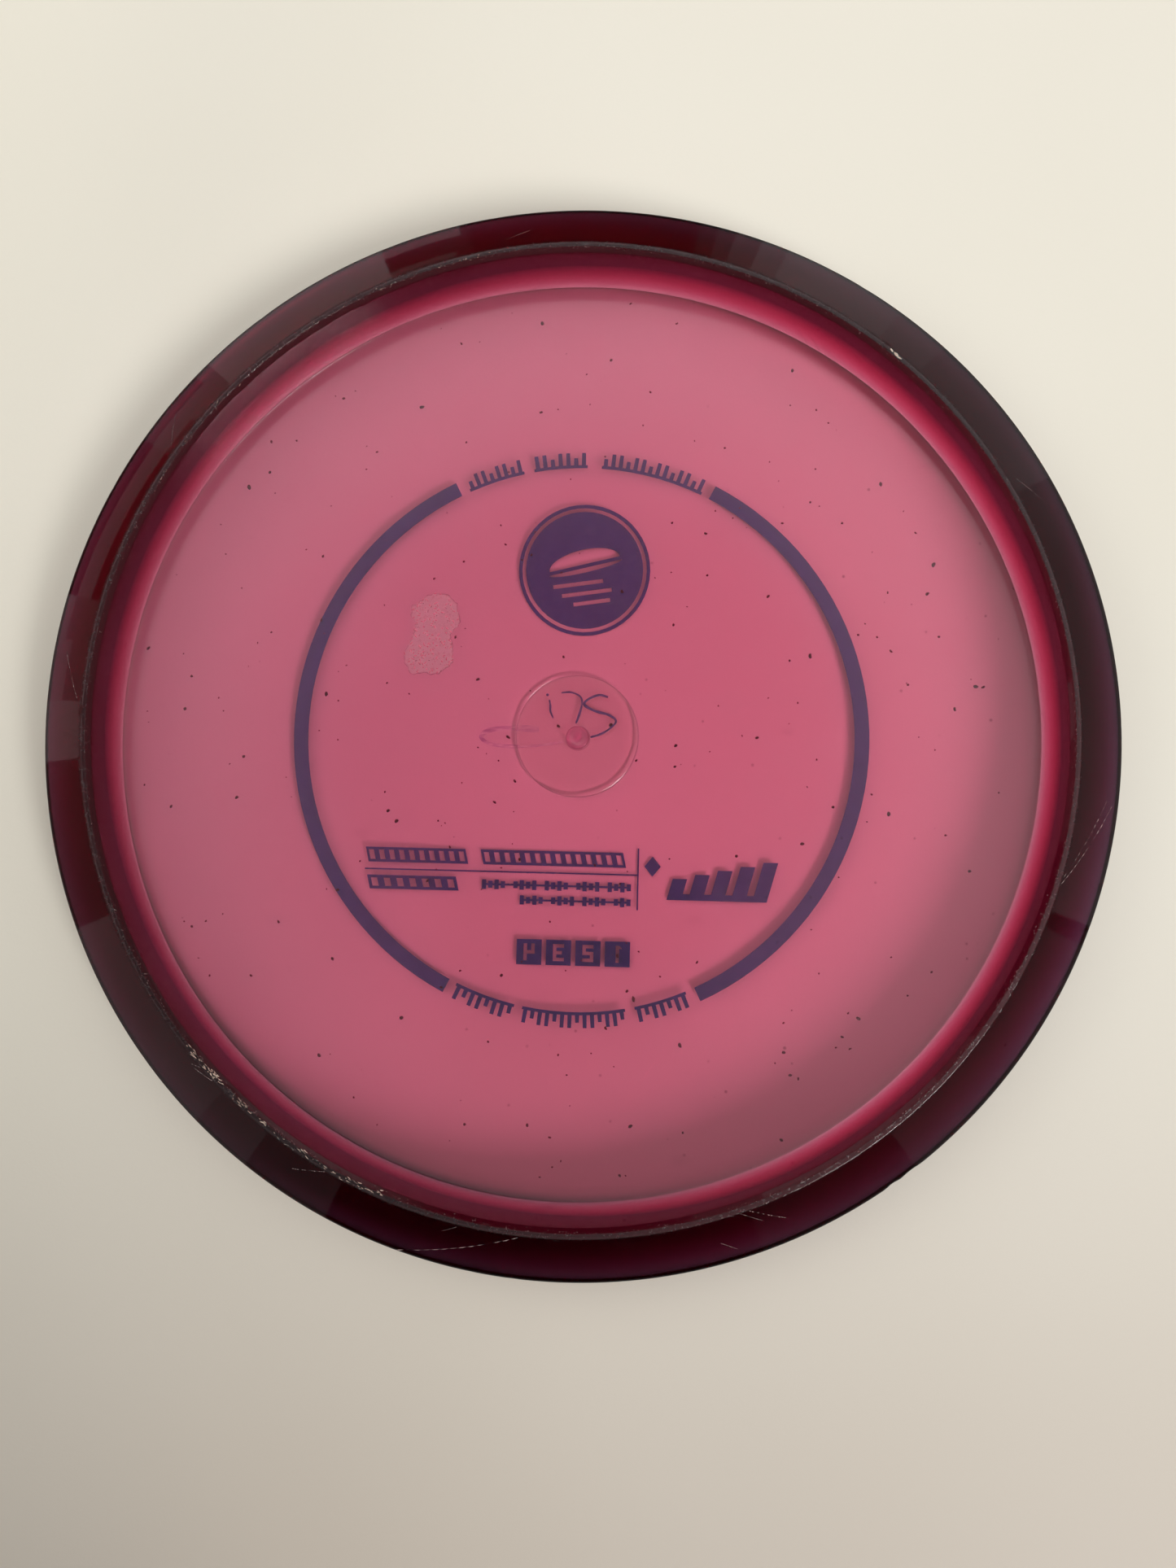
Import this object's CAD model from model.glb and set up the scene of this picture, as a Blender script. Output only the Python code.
"""The finished look of the flying disc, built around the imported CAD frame.

The disc lies underside up. The tinted moulding is real glass-like plastic: its colour comes from the length
of plastic that light crosses, so the thin plate is pink and the thick rim is dark. Metres throughout.
"""

import math

import bmesh
import bpy
import numpy as np
from mathutils import Matrix, Vector


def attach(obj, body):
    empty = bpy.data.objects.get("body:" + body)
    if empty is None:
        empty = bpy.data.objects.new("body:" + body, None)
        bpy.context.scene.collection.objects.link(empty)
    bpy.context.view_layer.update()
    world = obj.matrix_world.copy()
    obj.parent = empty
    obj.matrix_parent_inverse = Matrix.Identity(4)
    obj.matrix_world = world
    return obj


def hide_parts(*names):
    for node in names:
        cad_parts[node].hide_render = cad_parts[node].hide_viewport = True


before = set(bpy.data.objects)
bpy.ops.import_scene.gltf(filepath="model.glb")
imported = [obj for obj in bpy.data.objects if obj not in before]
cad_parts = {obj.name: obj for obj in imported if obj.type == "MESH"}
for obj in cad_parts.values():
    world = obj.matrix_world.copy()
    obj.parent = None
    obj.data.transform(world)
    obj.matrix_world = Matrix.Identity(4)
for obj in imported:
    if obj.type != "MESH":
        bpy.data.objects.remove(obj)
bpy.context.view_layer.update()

MM = 0.001
rng = np.random.default_rng(17)

# ---------------------------------------------------------------- the disc's dimensions, as in the CAD
NOSE_R = 108.5 * MM
HEIGHT = 19.0 * MM
NOSE_Z = 10.5 * MM
NOSE_ROUND = 2.6 * MM
PLATE_T = 2.3 * MM
FLAT_R = 13.0 * MM
SHOULDER_R = 94.0 * MM
DOME = 3.9 * MM
DOME_POWER = 1.25
WALL_ROOT_R = 94.4 * MM
ROOT_FILLET = 0.55 * MM
FOOT_IN_R = 96.75 * MM
FOOT_OUT_R = 97.6 * MM
FOOT_ROUND = 0.95 * MM
GATE_R = 12.75 * MM
NUB_R = 2.3 * MM
NUB_H = 0.5 * MM
NUB_AT = (0.10 * MM, -0.36 * MM)

STAMP_X, STAMP_Y, STAMP_TURN = 0.45 * MM, -0.06 * MM, math.radians(-1.33)


def top_z(r):
    r = np.asarray(r, float)
    return DOME * (np.clip(r - FLAT_R, 0, None) / (SHOULDER_R - FLAT_R)) ** DOME_POWER


def under_z(r):
    return top_z(r) + PLATE_T


def bezier(p0, p1, p2, p3, count):
    t = np.linspace(0, 1, count + 1)[:, None]
    p0, p1, p2, p3 = (np.array(p, float) for p in (p0, p1, p2, p3))
    return (1 - t) ** 3 * p0 + 3 * t * (1 - t) ** 2 * p1 + 3 * t * t * (1 - t) * p2 + t**3 * p3


def arc(cx, cy, r, start, end, count):
    a = np.radians(np.linspace(start, end, count + 1))
    return np.stack([cx + r * np.cos(a), cy + r * np.sin(a)], 1)


def lower_wing(round_count, face_count):
    """From the nose to the foot: a tight round, then an almost straight face."""
    turn = arc(NOSE_R - NOSE_ROUND, NOSE_Z, NOSE_ROUND, 0, 54, round_count)
    r0, z0 = turn[-1]
    face = bezier((r0, z0), (r0 - 2.6 * MM, z0 + 1.88 * MM), (FOOT_OUT_R + 2.77 * MM, HEIGHT - 1.6 * MM), (FOOT_OUT_R, HEIGHT), face_count)
    return turn, face


# ---------------------------------------------------------------- making meshes
def new_object(name, verts, faces, material, smooth=True):
    mesh = bpy.data.meshes.new(name)
    mesh.from_pydata([tuple(v) for v in verts], [], [tuple(f) for f in faces])
    mesh.validate()
    mesh.update()
    if smooth:
        mesh.shade_smooth()
    ob = bpy.data.objects.new(name, mesh)
    ob.data.materials.append(material)
    bpy.context.scene.collection.objects.link(ob)
    return ob


# ---------------------------------------------------------------- node helpers
class Nodes:
    """Short hand for building a material's nodes."""

    def __init__(self, name):
        self.mat = bpy.data.materials.new(name)
        self.mat.use_nodes = True
        self.nt = self.mat.node_tree
        self.nt.nodes.clear()
        self.out = self.nt.nodes.new("ShaderNodeOutputMaterial")

    def new(self, kind, **inputs):
        n = self.nt.nodes.new(kind)
        for key, value in inputs.items():
            self.set(n, key, value)
        return n

    def set(self, n, key, value):
        socket = n.inputs[int(key[1:])] if key[0] == "_" and key[1:].isdigit() else n.inputs[key.replace("_", " ")]
        if isinstance(value, bpy.types.NodeSocket):
            self.nt.links.new(value, socket)
        else:
            socket.default_value = value

    def maths(self, operation, a, b=None, c=None, clamp=False):
        n = self.nt.nodes.new("ShaderNodeMath")
        n.operation = operation
        n.use_clamp = clamp
        for i, v in enumerate((a, b, c)):
            if v is not None:
                self.set(n, f"_{i}", v)
        return n.outputs[0]

    def ramp(self, value, low, high, to_low=0.0, to_high=1.0, smooth=False):
        n = self.nt.nodes.new("ShaderNodeMapRange")
        n.interpolation_type = "SMOOTHSTEP" if smooth else "LINEAR"
        for key, v in (("Value", value), ("From Min", low), ("From Max", high), ("To Min", to_low), ("To Max", to_high)):
            self.set(n, key, v)
        return n.outputs["Result"]

    def noise(self, coords, scale, detail=3.0, roughness=0.55, distortion=0.0):
        n = self.nt.nodes.new("ShaderNodeTexNoise")
        for key, v in (("Vector", coords), ("Scale", scale), ("Detail", detail), ("Roughness", roughness), ("Distortion", distortion)):
            self.set(n, key, v)
        return n.outputs["Fac"]

    def voronoi(self, coords, scale, feature="F1", randomness=1.0):
        n = self.nt.nodes.new("ShaderNodeTexVoronoi")
        n.feature = feature
        for key, v in (("Vector", coords), ("Scale", scale), ("Randomness", randomness)):
            self.set(n, key, v)
        return n

    def coords(self):
        return self.nt.nodes.new("ShaderNodeTexCoord").outputs["Object"]

    def mapping(self, coords, rotation=(0, 0, 0), scale=(1, 1, 1), location=(0, 0, 0)):
        n = self.nt.nodes.new("ShaderNodeMapping")
        self.set(n, "Vector", coords)
        self.set(n, "Rotation", rotation)
        self.set(n, "Scale", scale)
        self.set(n, "Location", location)
        return n.outputs["Vector"]

    def mix_colour(self, factor, a, b):
        n = self.nt.nodes.new("ShaderNodeMix")
        n.data_type = "RGBA"
        self.set(n, "_0", factor)
        for i, v in ((6, a), (7, b)):
            if isinstance(v, bpy.types.NodeSocket):
                self.nt.links.new(v, n.inputs[i])
            else:
                n.inputs[i].default_value = (*v, 1.0)
        return n.outputs[2]

    def bump(self, height, distance, strength=1.0, normal=None):
        n = self.nt.nodes.new("ShaderNodeBump")
        self.set(n, "Height", height)
        self.set(n, "Distance", distance)
        self.set(n, "Strength", strength)
        if normal is not None:
            self.set(n, "Normal", normal)
        return n.outputs["Normal"]


def scratches(m, coords, turn, length, width, low, high, seed):
    """Thin straight lines in one direction: noise stretched along them, and only its crests kept."""
    turned = m.mapping(coords, rotation=(0, 0, turn), location=(seed * 0.37, seed * 0.19, 0))
    v = m.mapping(turned, scale=(1 / length, 1 / width, 1 / length))
    v2 = m.mapping(turned, scale=(1 / length, 1 / length, 1 / length))
    crest = m.noise(v, 1.0, detail=0.0)
    patch = m.noise(v2, 1.7, detail=1.0)
    line = m.ramp(crest, low, high)
    where = m.ramp(patch, 0.52, 0.62)
    return m.maths("MULTIPLY", line, where)


# ---------------------------------------------------------------- materials
ABSORB_PER_M = (60.0, 400.0, 264.0)  # what a metre of the tinted plastic would take off in red, green and blue


def make_plastic():
    m = Nodes("disc_plastic")
    co = m.coords()
    sep = m.new("ShaderNodeSeparateXYZ", Vector=co)
    height = sep.outputs["Z"]
    # hairlines, few of them, in four directions
    lines = None
    for i, (turn, length, width) in enumerate(((0.35, 0.024, 0.00022), (1.25, 0.018, 0.00018), (2.2, 0.030, 0.00022), (2.85, 0.015, 0.00016))):
        s = scratches(m, co, turn, length, width, 0.74, 0.80, i + 1)
        lines = s if lines is None else m.maths("MAXIMUM", lines, s)
    haze = m.noise(co, 38.0, detail=4.0, roughness=0.6)
    fine = m.noise(co, 900.0, detail=2.0, roughness=0.6)
    wave = m.noise(co, 45.0, detail=1.0)
    on_plate = m.ramp(height, 8.0 * MM, 11.0 * MM, 1.0, 0.0)
    rough = m.maths("ADD", 0.03, m.maths("MULTIPLY", on_plate, m.ramp(haze, 0.3, 0.7, 0.05, 0.10)))
    rough = m.maths("ADD", rough, m.maths("MULTIPLY", lines, 0.10))
    # the worn band of the foot is frosted in patches
    worn = m.ramp(height, 18.45 * MM, 18.97 * MM, smooth=True)
    grit = m.noise(co, 1500.0, detail=3.0, roughness=0.7)
    worn = m.maths("MULTIPLY", worn, m.ramp(grit, 0.50, 0.66))
    rough = m.maths("ADD", rough, m.maths("MULTIPLY", worn, 0.34), clamp=True)
    # handling marks: small brownish smudges, drawn out to one side, and a few freckles
    drawn = m.mapping(co, rotation=(0, 0, 0.5), scale=(0.55, 1.0, 1.0))
    cells = m.voronoi(drawn, 92.0)
    pick = m.new("ShaderNodeSeparateXYZ", Vector=cells.outputs["Color"])
    smudge = m.ramp(cells.outputs["Distance"], 0.02, 0.17, 1.0, 0.0, smooth=True)
    smudge = m.maths("MULTIPLY", smudge, m.ramp(pick.outputs["X"], 0.72, 0.98))
    small = m.voronoi(co, 330.0)
    pick2 = m.new("ShaderNodeSeparateXYZ", Vector=small.outputs["Color"])
    freckle = m.ramp(small.outputs["Distance"], 0.05, 0.16, 1.0, 0.0, smooth=True)
    freckle = m.maths("MULTIPLY", freckle, m.ramp(pick2.outputs["Y"], 0.94, 0.99))
    dirt = m.maths("MULTIPLY", m.maths("MAXIMUM", smudge, freckle), m.maths("MULTIPLY", on_plate, 0.75))
    tint = m.mix_colour(dirt, (1.0, 1.0, 1.0), (0.30, 0.22, 0.20))
    # the thick rim lets less red through than the plate does
    flat = m.new("ShaderNodeCombineXYZ", X=sep.outputs["X"], Y=sep.outputs["Y"])
    length = m.new("ShaderNodeVectorMath", _0=flat.outputs[0])
    length.operation = "LENGTH"
    radius = length.outputs["Value"]
    outside = m.ramp(radius, 97.2 * MM, 98.5 * MM)
    # it is deepest away from the gate's flow front, on the left
    west = m.ramp(sep.outputs["X"], -70.0 * MM, 70.0 * MM, 1.0, 0.0, smooth=True)
    root = m.maths("MULTIPLY", m.ramp(radius, 92.6 * MM, 95.0 * MM, smooth=True), m.maths("ADD", 0.08, m.maths("MULTIPLY", west, 0.20)))
    lower_left = m.ramp(m.maths("ADD", m.maths("MULTIPLY", sep.outputs["X"], -0.57), m.maths("MULTIPLY", sep.outputs["Y"], -0.82)), 50.0 * MM, 92.0 * MM, smooth=True)
    root = m.maths("ADD", root, m.maths("MULTIPLY", m.maths("MULTIPLY", lower_left, m.ramp(radius, 93.0 * MM, 94.6 * MM)), 0.30))
    wall = m.maths("ADD", root, m.ramp(height, 8.6 * MM, 16.0 * MM, smooth=True), clamp=True)
    deep = m.maths(
        "ADD",
        m.maths("MULTIPLY", outside, m.ramp(height, 6.5 * MM, 9.5 * MM, smooth=True)),
        m.maths("MULTIPLY", m.maths("SUBTRACT", 1.0, outside), wall),
        clamp=True,
    )
    # the wing passes most red at the upper left, least at the bottom
    def toward(azimuth):
        c, k = math.cos(math.radians(azimuth)), math.sin(math.radians(azimuth))
        return m.maths("ADD", m.maths("MULTIPLY", sep.outputs["X"], c), m.maths("MULTIPLY", sep.outputs["Y"], k))

    far = m.ramp(toward(132), -75.0 * MM, 100.0 * MM, smooth=True)
    near = m.ramp(toward(285), 78.0 * MM, 100.0 * MM, smooth=True)
    red = m.mix_colour(m.maths("MULTIPLY", far, outside), (0.050, 0.24, 0.30), (0.20, 0.30, 0.38))
    red = m.mix_colour(m.maths("MULTIPLY", near, outside), red, (0.030, 0.12, 0.13))
    tint = m.mix_colour(deep, tint, red)
    # the plate is a touch thicker toward the upper left
    thick = m.maths("MULTIPLY", m.ramp(toward(150), -40.0 * MM, 55.0 * MM, smooth=True), on_plate)
    tint = m.mix_colour(m.maths("MULTIPLY", thick, m.maths("SUBTRACT", 1.0, deep)), tint, (0.945, 0.975, 0.975))
    # inside the gate line the surface has its own, slightly duller finish
    gate = m.ramp(radius, GATE_R - 0.1 * MM, GATE_R + 0.05 * MM, 1.0, 0.0)
    tint = m.mix_colour(m.maths("MULTIPLY", gate, on_plate), tint, (0.925, 0.94, 0.92))
    # grime has settled in the gate line and round the foot of the nub
    off = m.new("ShaderNodeVectorMath", _0=flat.outputs[0], _1=(NUB_AT[0], NUB_AT[1], 0.0))
    off.operation = "SUBTRACT"
    from_nub = m.new("ShaderNodeVectorMath", _0=off.outputs[0])
    from_nub.operation = "LENGTH"
    nub_inside = m.maths("MULTIPLY", m.ramp(from_nub.outputs["Value"], NUB_R - 0.15 * MM, NUB_R, 1.0, 0.0), on_plate)
    tint = m.mix_colour(nub_inside, tint, (0.88, 0.80, 0.88))
    nub_line = m.ramp(m.maths("ABSOLUTE", m.maths("SUBTRACT", from_nub.outputs["Value"], NUB_R + 0.06 * MM)), 0.06 * MM, 0.22 * MM, 0.85, 0.0)
    gate_line = m.ramp(m.maths("ABSOLUTE", m.maths("SUBTRACT", radius, GATE_R)), 0.06 * MM, 0.24 * MM, 0.9, 0.0)
    grime = m.maths("MULTIPLY", m.maths("MAXIMUM", nub_line, gate_line), m.maths("MULTIPLY", on_plate, m.ramp(haze, 0.3, 0.6, 0.55, 1.0)))
    tint = m.mix_colour(grime, tint, (0.52, 0.40, 0.46))
    height_map = m.maths("ADD", m.maths("MULTIPLY", lines, -0.5), m.maths("MULTIPLY", fine, 0.16))
    height_map = m.maths("ADD", height_map, m.maths("MULTIPLY", m.maths("MULTIPLY", worn, grit), 2.4))
    normal = m.bump(wave, 0.00005, 1.0)
    normal = m.bump(height_map, 0.000010, 1.0, normal)
    p = m.new(
        "ShaderNodeBsdfPrincipled",
        Base_Color=tint,
        Roughness=rough,
        IOR=1.5,
        Transmission_Weight=1.0,
        Normal=normal,
    )
    m.nt.links.new(p.outputs[0], m.out.inputs["Surface"])
    density = 450.0
    v = m.new("ShaderNodeVolumeAbsorption", Color=(*[1 - a / density for a in ABSORB_PER_M], 1.0), Density=density)
    m.nt.links.new(v.outputs[0], m.out.inputs["Volume"])
    return m.mat


def make_foil():
    m = Nodes("foil")
    co = m.coords()
    mottle = m.noise(co, 420.0, detail=4.0, roughness=0.65)
    broad = m.noise(co, 45.0, detail=2.0)
    colour = m.mix_colour(m.ramp(mottle, 0.35, 0.7), (0.034, 0.090, 0.27), (0.054, 0.122, 0.33))
    colour = m.mix_colour(m.ramp(broad, 0.35, 0.75, 0.0, 0.35), colour, (0.026, 0.066, 0.22))
    rough = m.ramp(mottle, 0.3, 0.7, 0.34, 0.5)
    normal = m.bump(mottle, 0.000015, 0.6)
    p = m.new("ShaderNodeBsdfPrincipled", Base_Color=colour, Roughness=rough, Metallic=0.25, Normal=normal)
    m.nt.links.new(p.outputs[0], m.out.inputs["Surface"])
    return m.mat


def make_ink():
    m = Nodes("marker")
    co = m.coords()
    patch = m.noise(co, 900.0, detail=3.0, roughness=0.7)
    colour = m.mix_colour(m.ramp(patch, 0.35, 0.7), (0.040, 0.006, 0.050), (0.120, 0.022, 0.110))
    normal = m.bump(patch, 0.00001, 0.7)
    p = m.new("ShaderNodeBsdfPrincipled", Base_Color=colour, Roughness=m.ramp(patch, 0.3, 0.7, 0.35, 0.6), Normal=normal)
    m.nt.links.new(p.outputs[0], m.out.inputs["Surface"])
    return m.mat


def make_trace():
    m = Nodes("wiped_ink")
    co = m.coords()
    streak = m.noise(m.mapping(co, scale=(0.25, 1.0, 1.0)), 1300.0, detail=3.0, roughness=0.6)
    sep = m.new("ShaderNodeSeparateXYZ", Vector=co)
    fade = m.ramp(sep.outputs["X"], -19.5 * MM, -8.0 * MM, 1.0, 0.45)
    colour = m.mix_colour(m.maths("MULTIPLY", m.ramp(streak, 0.35, 0.6), fade), (1.0, 0.98, 1.0), (0.70, 0.53, 0.72))
    p = m.new("ShaderNodeBsdfPrincipled", Base_Color=colour, Roughness=m.ramp(streak, 0.3, 0.7, 0.05, 0.14), IOR=1.06, Transmission_Weight=1.0)
    m.nt.links.new(p.outputs[0], m.out.inputs["Surface"])
    return m.mat


def make_glue():
    m = Nodes("label_glue")
    co = m.coords()
    grain = m.noise(co, 1100.0, detail=3.0, roughness=0.65)
    edge = m.new("ShaderNodeAttribute")
    edge.attribute_name = "edge"
    colour = m.mix_colour(m.ramp(grain, 0.3, 0.42), (0.90, 0.80, 0.80), (1.0, 1.0, 1.0))
    colour = m.mix_colour(m.maths("MULTIPLY", edge.outputs["Fac"], m.ramp(grain, 0.35, 0.6, 1.0, 0.45)), colour, (0.60, 0.46, 0.48))
    normal = m.bump(grain, 0.00002, 0.5)
    p = m.new(
        "ShaderNodeBsdfPrincipled",
        Base_Color=colour,
        Roughness=m.ramp(grain, 0.35, 0.7, 0.10, 0.22),
        IOR=1.22,
        Transmission_Weight=1.0,
        Normal=normal,
    )
    m.nt.links.new(p.outputs[0], m.out.inputs["Surface"])
    return m.mat


def make_speck():
    m = Nodes("speck")
    co = m.coords()
    n = m.noise(co, 700.0)
    colour = m.mix_colour(m.ramp(n, 0.35, 0.65), (0.085, 0.008, 0.016), (0.20, 0.02, 0.035))
    p = m.new("ShaderNodeBsdfPrincipled", Base_Color=colour, Roughness=0.6)
    m.nt.links.new(p.outputs[0], m.out.inputs["Surface"])
    return m.mat


def make_scuff():
    m = Nodes("scuff")
    co = m.coords()
    n = m.noise(co, 1600.0, detail=3.0, roughness=0.7)
    colour = m.mix_colour(m.ramp(n, 0.35, 0.65), (0.30, 0.19, 0.20), (0.62, 0.52, 0.50))
    p = m.new("ShaderNodeBsdfPrincipled", Base_Color=colour, Roughness=m.ramp(n, 0.3, 0.7, 0.5, 0.85), Normal=m.bump(n, 0.00003, 0.8))
    m.nt.links.new(p.outputs[0], m.out.inputs["Surface"])
    return m.mat


def make_chip():
    m = Nodes("chip")
    co = m.coords()
    n = m.noise(co, 1300.0, detail=4.0, roughness=0.7)
    colour = m.mix_colour(m.ramp(n, 0.35, 0.65), (0.40, 0.27, 0.22), (0.72, 0.60, 0.50))
    p = m.new("ShaderNodeBsdfPrincipled", Base_Color=colour, Roughness=m.ramp(n, 0.3, 0.7, 0.55, 0.9), Normal=m.bump(n, 0.00004, 0.8))
    m.nt.links.new(p.outputs[0], m.out.inputs["Surface"])
    return m.mat


def make_crumb():
    m = Nodes("crumb")
    co = m.coords()
    n = m.noise(co, 1500.0, detail=3.0, roughness=0.6)
    colour = m.mix_colour(m.ramp(n, 0.35, 0.65), (0.56, 0.15, 0.22), (0.68, 0.21, 0.28))
    p = m.new("ShaderNodeBsdfPrincipled", Base_Color=colour, Roughness=m.ramp(n, 0.3, 0.7, 0.45, 0.7), Normal=m.bump(n, 0.00002, 0.6))
    m.nt.links.new(p.outputs[0], m.out.inputs["Surface"])
    return m.mat


plastic = make_plastic()
crumb_material = make_crumb()
chip_material = make_chip()
foil_material = make_foil()
ink_material = make_ink()
trace_material = make_trace()
glue_material = make_glue()
speck_material = make_speck()
scuff_material = make_scuff()


# ---------------------------------------------------------------- the moulding
def profile():
    """Rings of the moulding: (r, z, points round the ring), from the axis on the top face to the axis on the underside."""
    rings = [(0.0, 0.0, 1)]
    rings += [(r * MM, 0.0, 90) for r in (1.2, 4.0)]
    rings += [(r * MM, 0.0, 360) for r in (7.5, 10.5, 12.2)]
    for r in np.linspace(FLAT_R, SHOULDER_R, 34):
        rings.append((r, float(top_z(r)), 360))
    slope = DOME * DOME_POWER / (SHOULDER_R - FLAT_R)
    wing = bezier(
        (SHOULDER_R, float(top_z(SHOULDER_R))),
        (SHOULDER_R + 7.5 * MM, float(top_z(SHOULDER_R)) + 7.5 * MM * slope),
        (NOSE_R - 0.1 * MM, NOSE_Z - 2.9 * MM),
        (NOSE_R, NOSE_Z),
        26,
    )
    for r, z in wing[1:20]:
        rings.append((r, z, 720))
    for r, z in wing[20:]:
        rings.append((r, z, 1440))
    turn, face = lower_wing(12, 34)
    rings += [(r, z, 1440) for r, z in turn[1:]]
    for i, (r, z) in enumerate(face[1:-1]):
        rings.append((r, z, 1440 if i > 27 else 720))
    # the foot's outer edge has a fine radius; then the flat, the round to the inner wall, and the wall
    rings.append((FOOT_OUT_R + 0.10 * MM, HEIGHT - 0.035 * MM, 1440))
    rings.append((FOOT_OUT_R - 0.02 * MM, HEIGHT - 0.008 * MM, 1440))
    # wear has left the flat very slightly hollow between two fine rounded edges
    for dr, dz in ((0.10, 0.0), (0.16, 0.004), (0.22, 0.016), (0.30, 0.022), (0.45, 0.025), (0.60, 0.022), (0.68, 0.016), (0.74, 0.004), (0.80, 0.0)):
        rings.append((FOOT_OUT_R - dr * MM, HEIGHT - dz * MM, 1440))
    bead = arc(FOOT_IN_R + 0.03 * MM, HEIGHT - 0.12 * MM, 0.12 * MM, 90, 140, 5)
    bevel_end = (95.90 * MM, HEIGHT - 0.98 * MM)
    for r, z in bead:
        rings.append((r, z, 1440))
    for t in (0.25, 0.5, 0.75):
        rings.append((bead[-1][0] + (bevel_end[0] - bead[-1][0]) * t, bead[-1][1] + (bevel_end[1] - bead[-1][1]) * t, 1440))
    knee = arc(bevel_end[0] + 0.268 * MM, bevel_end[1] - 0.225 * MM, 0.35 * MM, 140, 172.5, 5)
    for r, z in knee:
        rings.append((r, z, 1440))
    mouth_r, mouth_z = knee[-1]
    root = WALL_ROOT_R - ROOT_FILLET
    root_z = float(under_z(root)) + ROOT_FILLET
    for t in np.linspace(0, 1, 13)[1:-1]:
        rings.append((mouth_r + (WALL_ROOT_R - mouth_r) * t, mouth_z + (root_z - mouth_z) * t, 720))
    for r, z in arc(root, root_z, ROOT_FILLET, 0, -90, 10):
        rings.append((r, z, 720))
    gate_out = GATE_R + 0.30 * MM
    for r in np.linspace(root, gate_out, 34)[1:]:
        rings.append((r, float(under_z(r)), 360))
    depth = 0.12 * MM
    for dr, dz in ((0.22, 0.02), (0.14, 0.6), (0.06, 0.96), (0.0, 1.0), (-0.06, 0.9), (-0.14, 0.5), (-0.22, 0.1), (-0.32, 0.0)):
        rings.append((GATE_R + dr * MM, float(under_z(GATE_R)) - depth * dz, 360))
    for r in (11.6, 10.0, 8.0, 6.0, 4.6, 3.4):
        rings.append((r * MM, PLATE_T, 360 if r > 9 else 180))
    nub = (
        (0.55, -0.02), (0.32, -0.03), (0.16, 0.05), (0.05, 0.22), (-0.02, 0.5), (-0.10, 0.80), (-0.24, 0.96),
        (-0.45, 1.0), (-0.75, 0.93), (-1.1, 0.80), (-1.5, 0.72), (-1.9, 0.70),
    )  # fmt: skip
    for dr, h in nub:
        rings.append((NUB_R + dr * MM, PLATE_T + NUB_H * h, 90))
    rings.append((0.0, PLATE_T + NUB_H * 0.70, 1))
    return rings


def stitch(start_a, na, start_b, nb):
    """Faces between two rings whose counts divide one another, wound so that they face away from the section's left."""
    faces = []
    if na == nb:
        i = np.arange(na)
        j = (i + 1) % na
        return np.stack([start_a + i, start_a + j, start_b + j, start_b + i], 1).tolist()
    if na == 1:
        return [(start_a, start_b + (i + 1) % nb, start_b + i) for i in range(nb)]
    if nb == 1:
        return [(start_a + i, start_a + (i + 1) % na, start_b) for i in range(na)]
    if nb > na:
        k = nb // na
        for i in range(na):
            faces.append([start_a + i, start_a + (i + 1) % na, *[start_b + (i * k + m) % nb for m in range(k, -1, -1)]])
    else:
        k = na // nb
        for i in range(nb):
            faces.append([*[start_a + (i * k + m) % na for m in range(k + 1)], start_b + (i + 1) % nb, start_b + i])
    return faces


def wear(points, where):
    """How far each point has been worn into the plastic: many small nicks along the foot and the nose."""
    r = np.hypot(points[:, 0], points[:, 1])
    a = np.arctan2(points[:, 1], points[:, 0])
    z = points[:, 2]
    depth = np.zeros(len(points))
    nicks = []
    g = np.random.default_rng(5)
    # foot: busiest at the lower left and along the top
    for _ in range(520):
        at = g.uniform(-math.pi, math.pi)
        busy = 0.35 + 0.65 * max(math.exp(-(((at + 2.35 + math.pi) % (2 * math.pi) - math.pi) / 0.5) ** 2), math.exp(-(((at - 1.6 + math.pi) % (2 * math.pi) - math.pi) / 0.7) ** 2))
        if g.uniform() > busy:
            continue
        nicks.append((at, g.uniform(96.1, 97.75) * MM, HEIGHT - 0.1 * MM, abs(g.normal(0.25, 0.35)) * MM + 0.16 * MM, g.uniform(0.12, 0.32) * MM, g.uniform(0.015, 0.07) * MM))
    # nose
    for _ in range(46):
        at = g.uniform(-math.pi, math.pi)
        nicks.append((at, NOSE_R, g.uniform(9.8, 11.6) * MM, g.uniform(0.3, 1.3) * MM, g.uniform(0.25, 0.6) * MM, g.uniform(0.03, 0.12) * MM))
    # the ones that stand out: notches in the outline, a chip in the foot, and gouges at the lower left
    nicks += [
        (math.radians(127.0), NOSE_R, 10.7 * MM, 1.1 * MM, 0.9 * MM, 0.34 * MM),
        (math.radians(-52.7), NOSE_R, 10.9 * MM, 1.6 * MM, 1.0 * MM, 0.36 * MM),
        (math.radians(-55.0), NOSE_R, 11.4 * MM, 1.2 * MM, 0.9 * MM, 0.22 * MM),
        (math.radians(50.8), 97.3 * MM, HEIGHT, 0.9 * MM, 0.5 * MM, 0.22 * MM),
        (math.radians(-136.0), 97.4 * MM, HEIGHT, 1.6 * MM, 0.4 * MM, 0.16 * MM),
        (math.radians(-139.0), 97.2 * MM, HEIGHT, 2.2 * MM, 0.35 * MM, 0.13 * MM),
        (math.radians(-133.0), 96.9 * MM, HEIGHT, 1.2 * MM, 0.35 * MM, 0.14 * MM),
        (math.radians(178.0), 97.6 * MM, HEIGHT, 0.7 * MM, 0.4 * MM, 0.14 * MM),
    ]
    for at, nr, nz, along, across, deep in nicks:
        da = (a - at + math.pi) % (2 * math.pi) - math.pi
        near = np.abs(da) < 4 * along / nr
        if not near.any():
            continue
        d2 = (da[near] * nr / along) ** 2 + ((r[near] - nr) ** 2 + (z[near] - nz) ** 2) / across**2
        depth[near] = np.maximum(depth[near], deep * np.exp(-d2))
    return depth * where


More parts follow.
